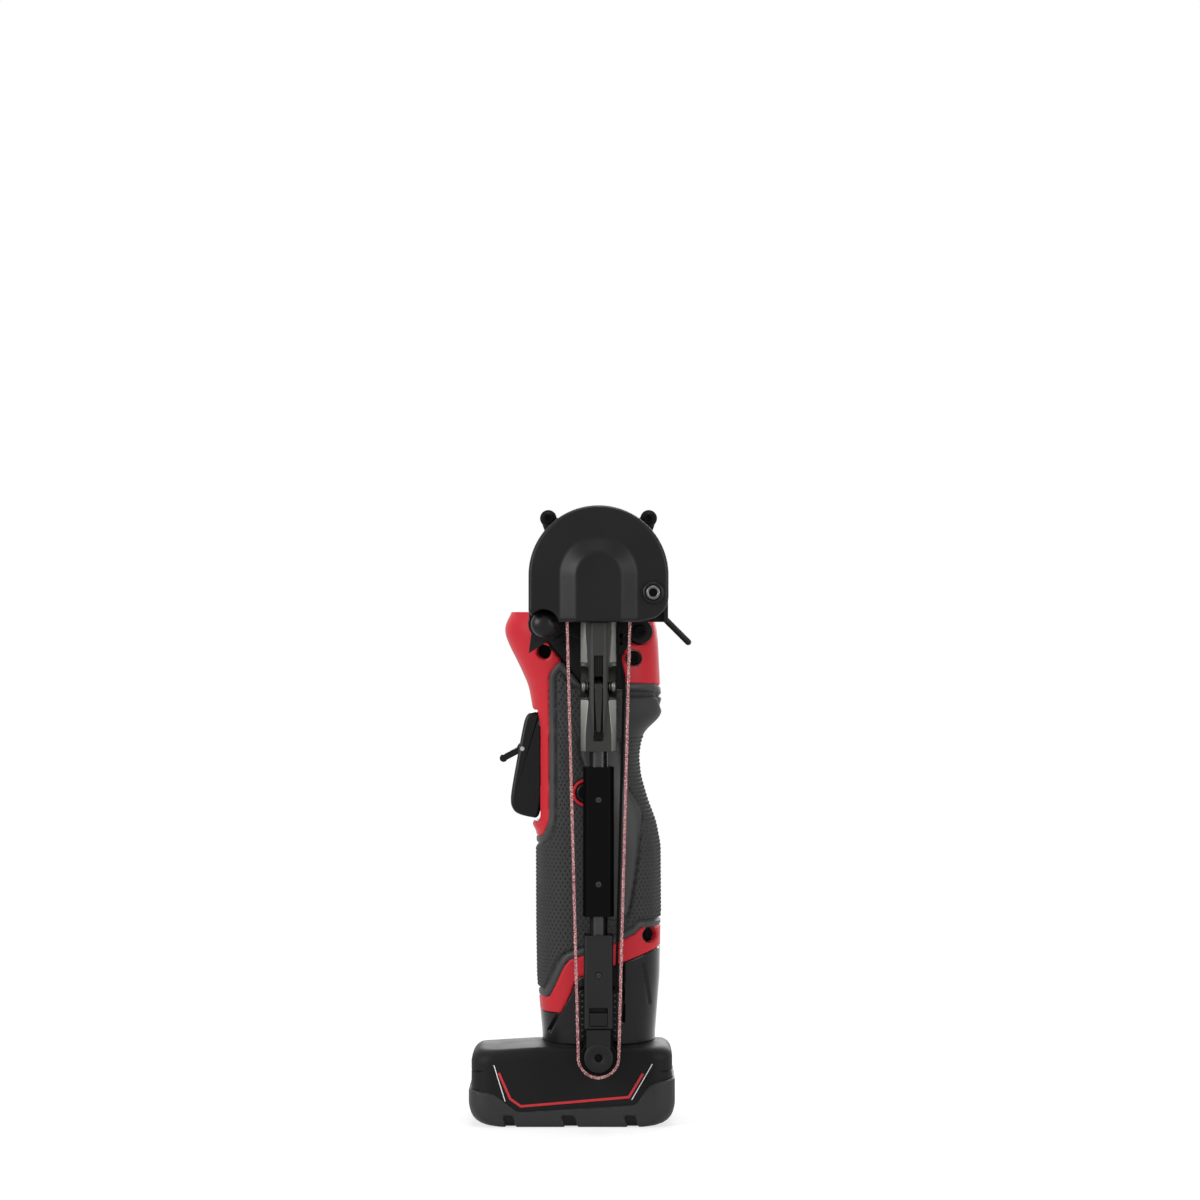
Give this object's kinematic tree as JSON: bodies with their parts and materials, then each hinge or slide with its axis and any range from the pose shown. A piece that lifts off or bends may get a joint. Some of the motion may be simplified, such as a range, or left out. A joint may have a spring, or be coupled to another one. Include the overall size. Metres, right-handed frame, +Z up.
{
  "type": "power file",
  "caption": "Cordless belt file: a narrow sanding belt on a slim arm that swivels about the head of an upright rubber-gripped handle standing on its battery.",
  "frame": {"origin": "on the flat underside of the battery, below the axis of the handle", "axes": "+Z up the handle, +Y from the arm towards the gear case cover, +X away from the paddle switch"},
  "size_m": [0.0917, 0.0856, 0.2543],
  "materials": {
    "red_plastic": "smooth red moulded nylon",
    "grip_rubber": "dark grey moulded rubber",
    "black_plastic": "fine satin black moulding",
    "grey_plastic": "dark grey moulding",
    "label_red": "printed plain stripe",
    "black_casting": "black coated casting",
    "arm_aluminium": "tumbled casting",
    "black_anodised": "black anodised",
    "bright_steel": "ground steel",
    "gear_steel": "hardened steel",
    "motor_iron": "laminations and windings",
    "circuit_board": "solder mask",
    "tyre_rubber": "ground rubber",
    "abrasive_cloth": "abrasive grain on cloth",
    "cell_wrap": "shrink wrap"
  },
  "bodies": {
    "body": {"front_shell": "red_plastic", "rear_shell": "red_plastic", "front_grip": "grip_rubber", "rear_grip": "grip_rubber", "battery_sleeve": "black_plastic", "gear_case": "black_casting", "gear_case_cover": "black_casting", "case_screws": "bright_steel", "shell_screws": "bright_steel", "motor_stator": "motor_iron", "motor_bearings": "bright_steel", "output_bearings": "bright_steel", "control_board": "circuit_board", "trigger_switch": "black_plastic", "terminal_block": "black_plastic", "button_bezel": "red_plastic", "paddle_pin": "bright_steel", "paddle_spring": "bright_steel", "lock_lever_pin": "black_anodised"},
    "rotor": {"rotor_shaft": "bright_steel", "rotor_core": "motor_iron", "motor_fan": "black_plastic", "bevel_pinion": "gear_steel"},
    "output": {"output_shaft": "bright_steel", "bevel_gear": "gear_steel", "drive_wheel": "arm_aluminium", "drive_tyre": "tyre_rubber", "wheel_screw": "bright_steel"},
    "arm": {"arm_base": "arm_aluminium", "guard_back": "black_plastic", "guard_cover": "black_plastic", "arm_screws": "bright_steel", "platen": "black_anodised", "lever_pin": "bright_steel", "sanding_belt": "abrasive_cloth", "tension_spring": "bright_steel"},
    "arm_slide": {"inner_rod": "bright_steel", "arm_tube": "black_anodised", "outer_rod": "bright_steel", "fork_block": "black_anodised", "tip_yoke": "black_anodised", "roller_pin": "bright_steel", "set_screws": "bright_steel"},
    "tip_roller": {"tip_roller": "bright_steel"},
    "release_lever": {"release_lever": "black_anodised"},
    "tracking_knob": {"tracking_knob": "black_plastic"},
    "arm_lock_lever": {"arm_lock_lever": "black_anodised"},
    "paddle": {"paddle": "black_plastic", "lock_off_pin": "bright_steel"},
    "lock_off_lever": {"lock_off_lever": "black_plastic"},
    "speed_button": {"speed_button": "black_plastic"},
    "pack": {"pack_housing": "black_plastic", "pack_base": "grey_plastic", "battery_cells": "cell_wrap", "pack_label": "label_red"},
    "front_latch": {"front_latch": "black_plastic"},
    "rear_latch": {"rear_latch": "black_plastic"}
  },
  "joints": [
    {"name": "output_spin", "type": "hinge", "parent": "body", "child": "output", "pos_m": [0, 0, 0.226], "axis": [0, 1, 0], "continuous": true},
    {"name": "rotor_spin", "type": "hinge", "parent": "body", "child": "rotor", "pos_m": [0, 0, 0.18], "axis": [0, 0, 1], "continuous": true},
    {"name": "arm_swivel", "type": "hinge", "parent": "body", "child": "arm", "pos_m": [0, -0.027, 0.226], "axis": [0, 1, 0], "continuous": true},
    {"name": "belt_release", "type": "hinge", "parent": "arm", "child": "release_lever", "pos_m": [0, -0.0458, 0.181], "axis": [-1, 0, 0], "range_deg": [0, 70]},
    {"name": "tip_retract", "type": "slide", "parent": "arm", "child": "arm_slide", "axis": [0, 0, 1], "range_m": [0, 0.006], "stiffness_N_per_m": 300, "springref_m": -0.01, "deforming": ["tension_spring"]},
    {"name": "tip_spin", "type": "hinge", "parent": "arm_slide", "child": "tip_roller", "pos_m": [0, -0.04, 0.03071], "axis": [0, 1, 0], "continuous": true},
    {"name": "tracking_turn", "type": "hinge", "parent": "arm", "child": "tracking_knob", "pos_m": [-0.022, -0.04, 0.2063], "axis": [0, 1, 0], "range_deg": [-180, 180]},
    {"name": "swivel_lock", "type": "hinge", "parent": "body", "child": "arm_lock_lever", "pos_m": [0.021, -0.027, 0.2145], "axis": [0, -1, 0], "range_deg": [0, 60]},
    {"name": "paddle_squeeze", "type": "hinge", "parent": "body", "child": "paddle", "pos_m": [-0.02385, 0, 0.16485], "axis": [0, -1, 0], "range_deg": [0, 7], "stiffness_Nm_per_rad": 2, "springref_deg": -2.86, "deforming": ["paddle_spring"]},
    {"name": "lock_off_flip", "type": "hinge", "parent": "paddle", "child": "lock_off_lever", "pos_m": [-0.03165, 0, 0.15435], "axis": [0, 1, 0], "range_deg": [0, 25], "stiffness_Nm_per_rad": 0.02, "springref_deg": -11.46},
    {"name": "speed_press", "type": "slide", "parent": "body", "child": "speed_button", "axis": [0, 1, 0], "range_m": [0, 0.001], "stiffness_N_per_m": 800, "springref_m": -0.001},
    {"name": "pack_slide", "type": "slide", "parent": "body", "child": "pack", "axis": [0, 0, -1], "range_m": [0, 0.075]},
    {"name": "front_latch_press", "type": "slide", "parent": "pack", "child": "front_latch", "axis": [0, 1, 0], "range_m": [0, 0.0015], "stiffness_N_per_m": 1500, "springref_m": -0.002},
    {"name": "rear_latch_press", "type": "slide", "parent": "pack", "child": "rear_latch", "axis": [0, -1, 0], "range_m": [0, 0.0015], "stiffness_N_per_m": 1500, "springref_m": -0.002}
  ],
  "couplings": [
    {"joint": "rotor_spin", "follows": "output_spin", "ratio": 2.5},
    {"joint": "tip_spin", "follows": "output_spin", "ratio": 1.6211},
    {"joint": "belt_release", "follows": "tip_retract", "rad_per_m": 203.62}
  ]
}
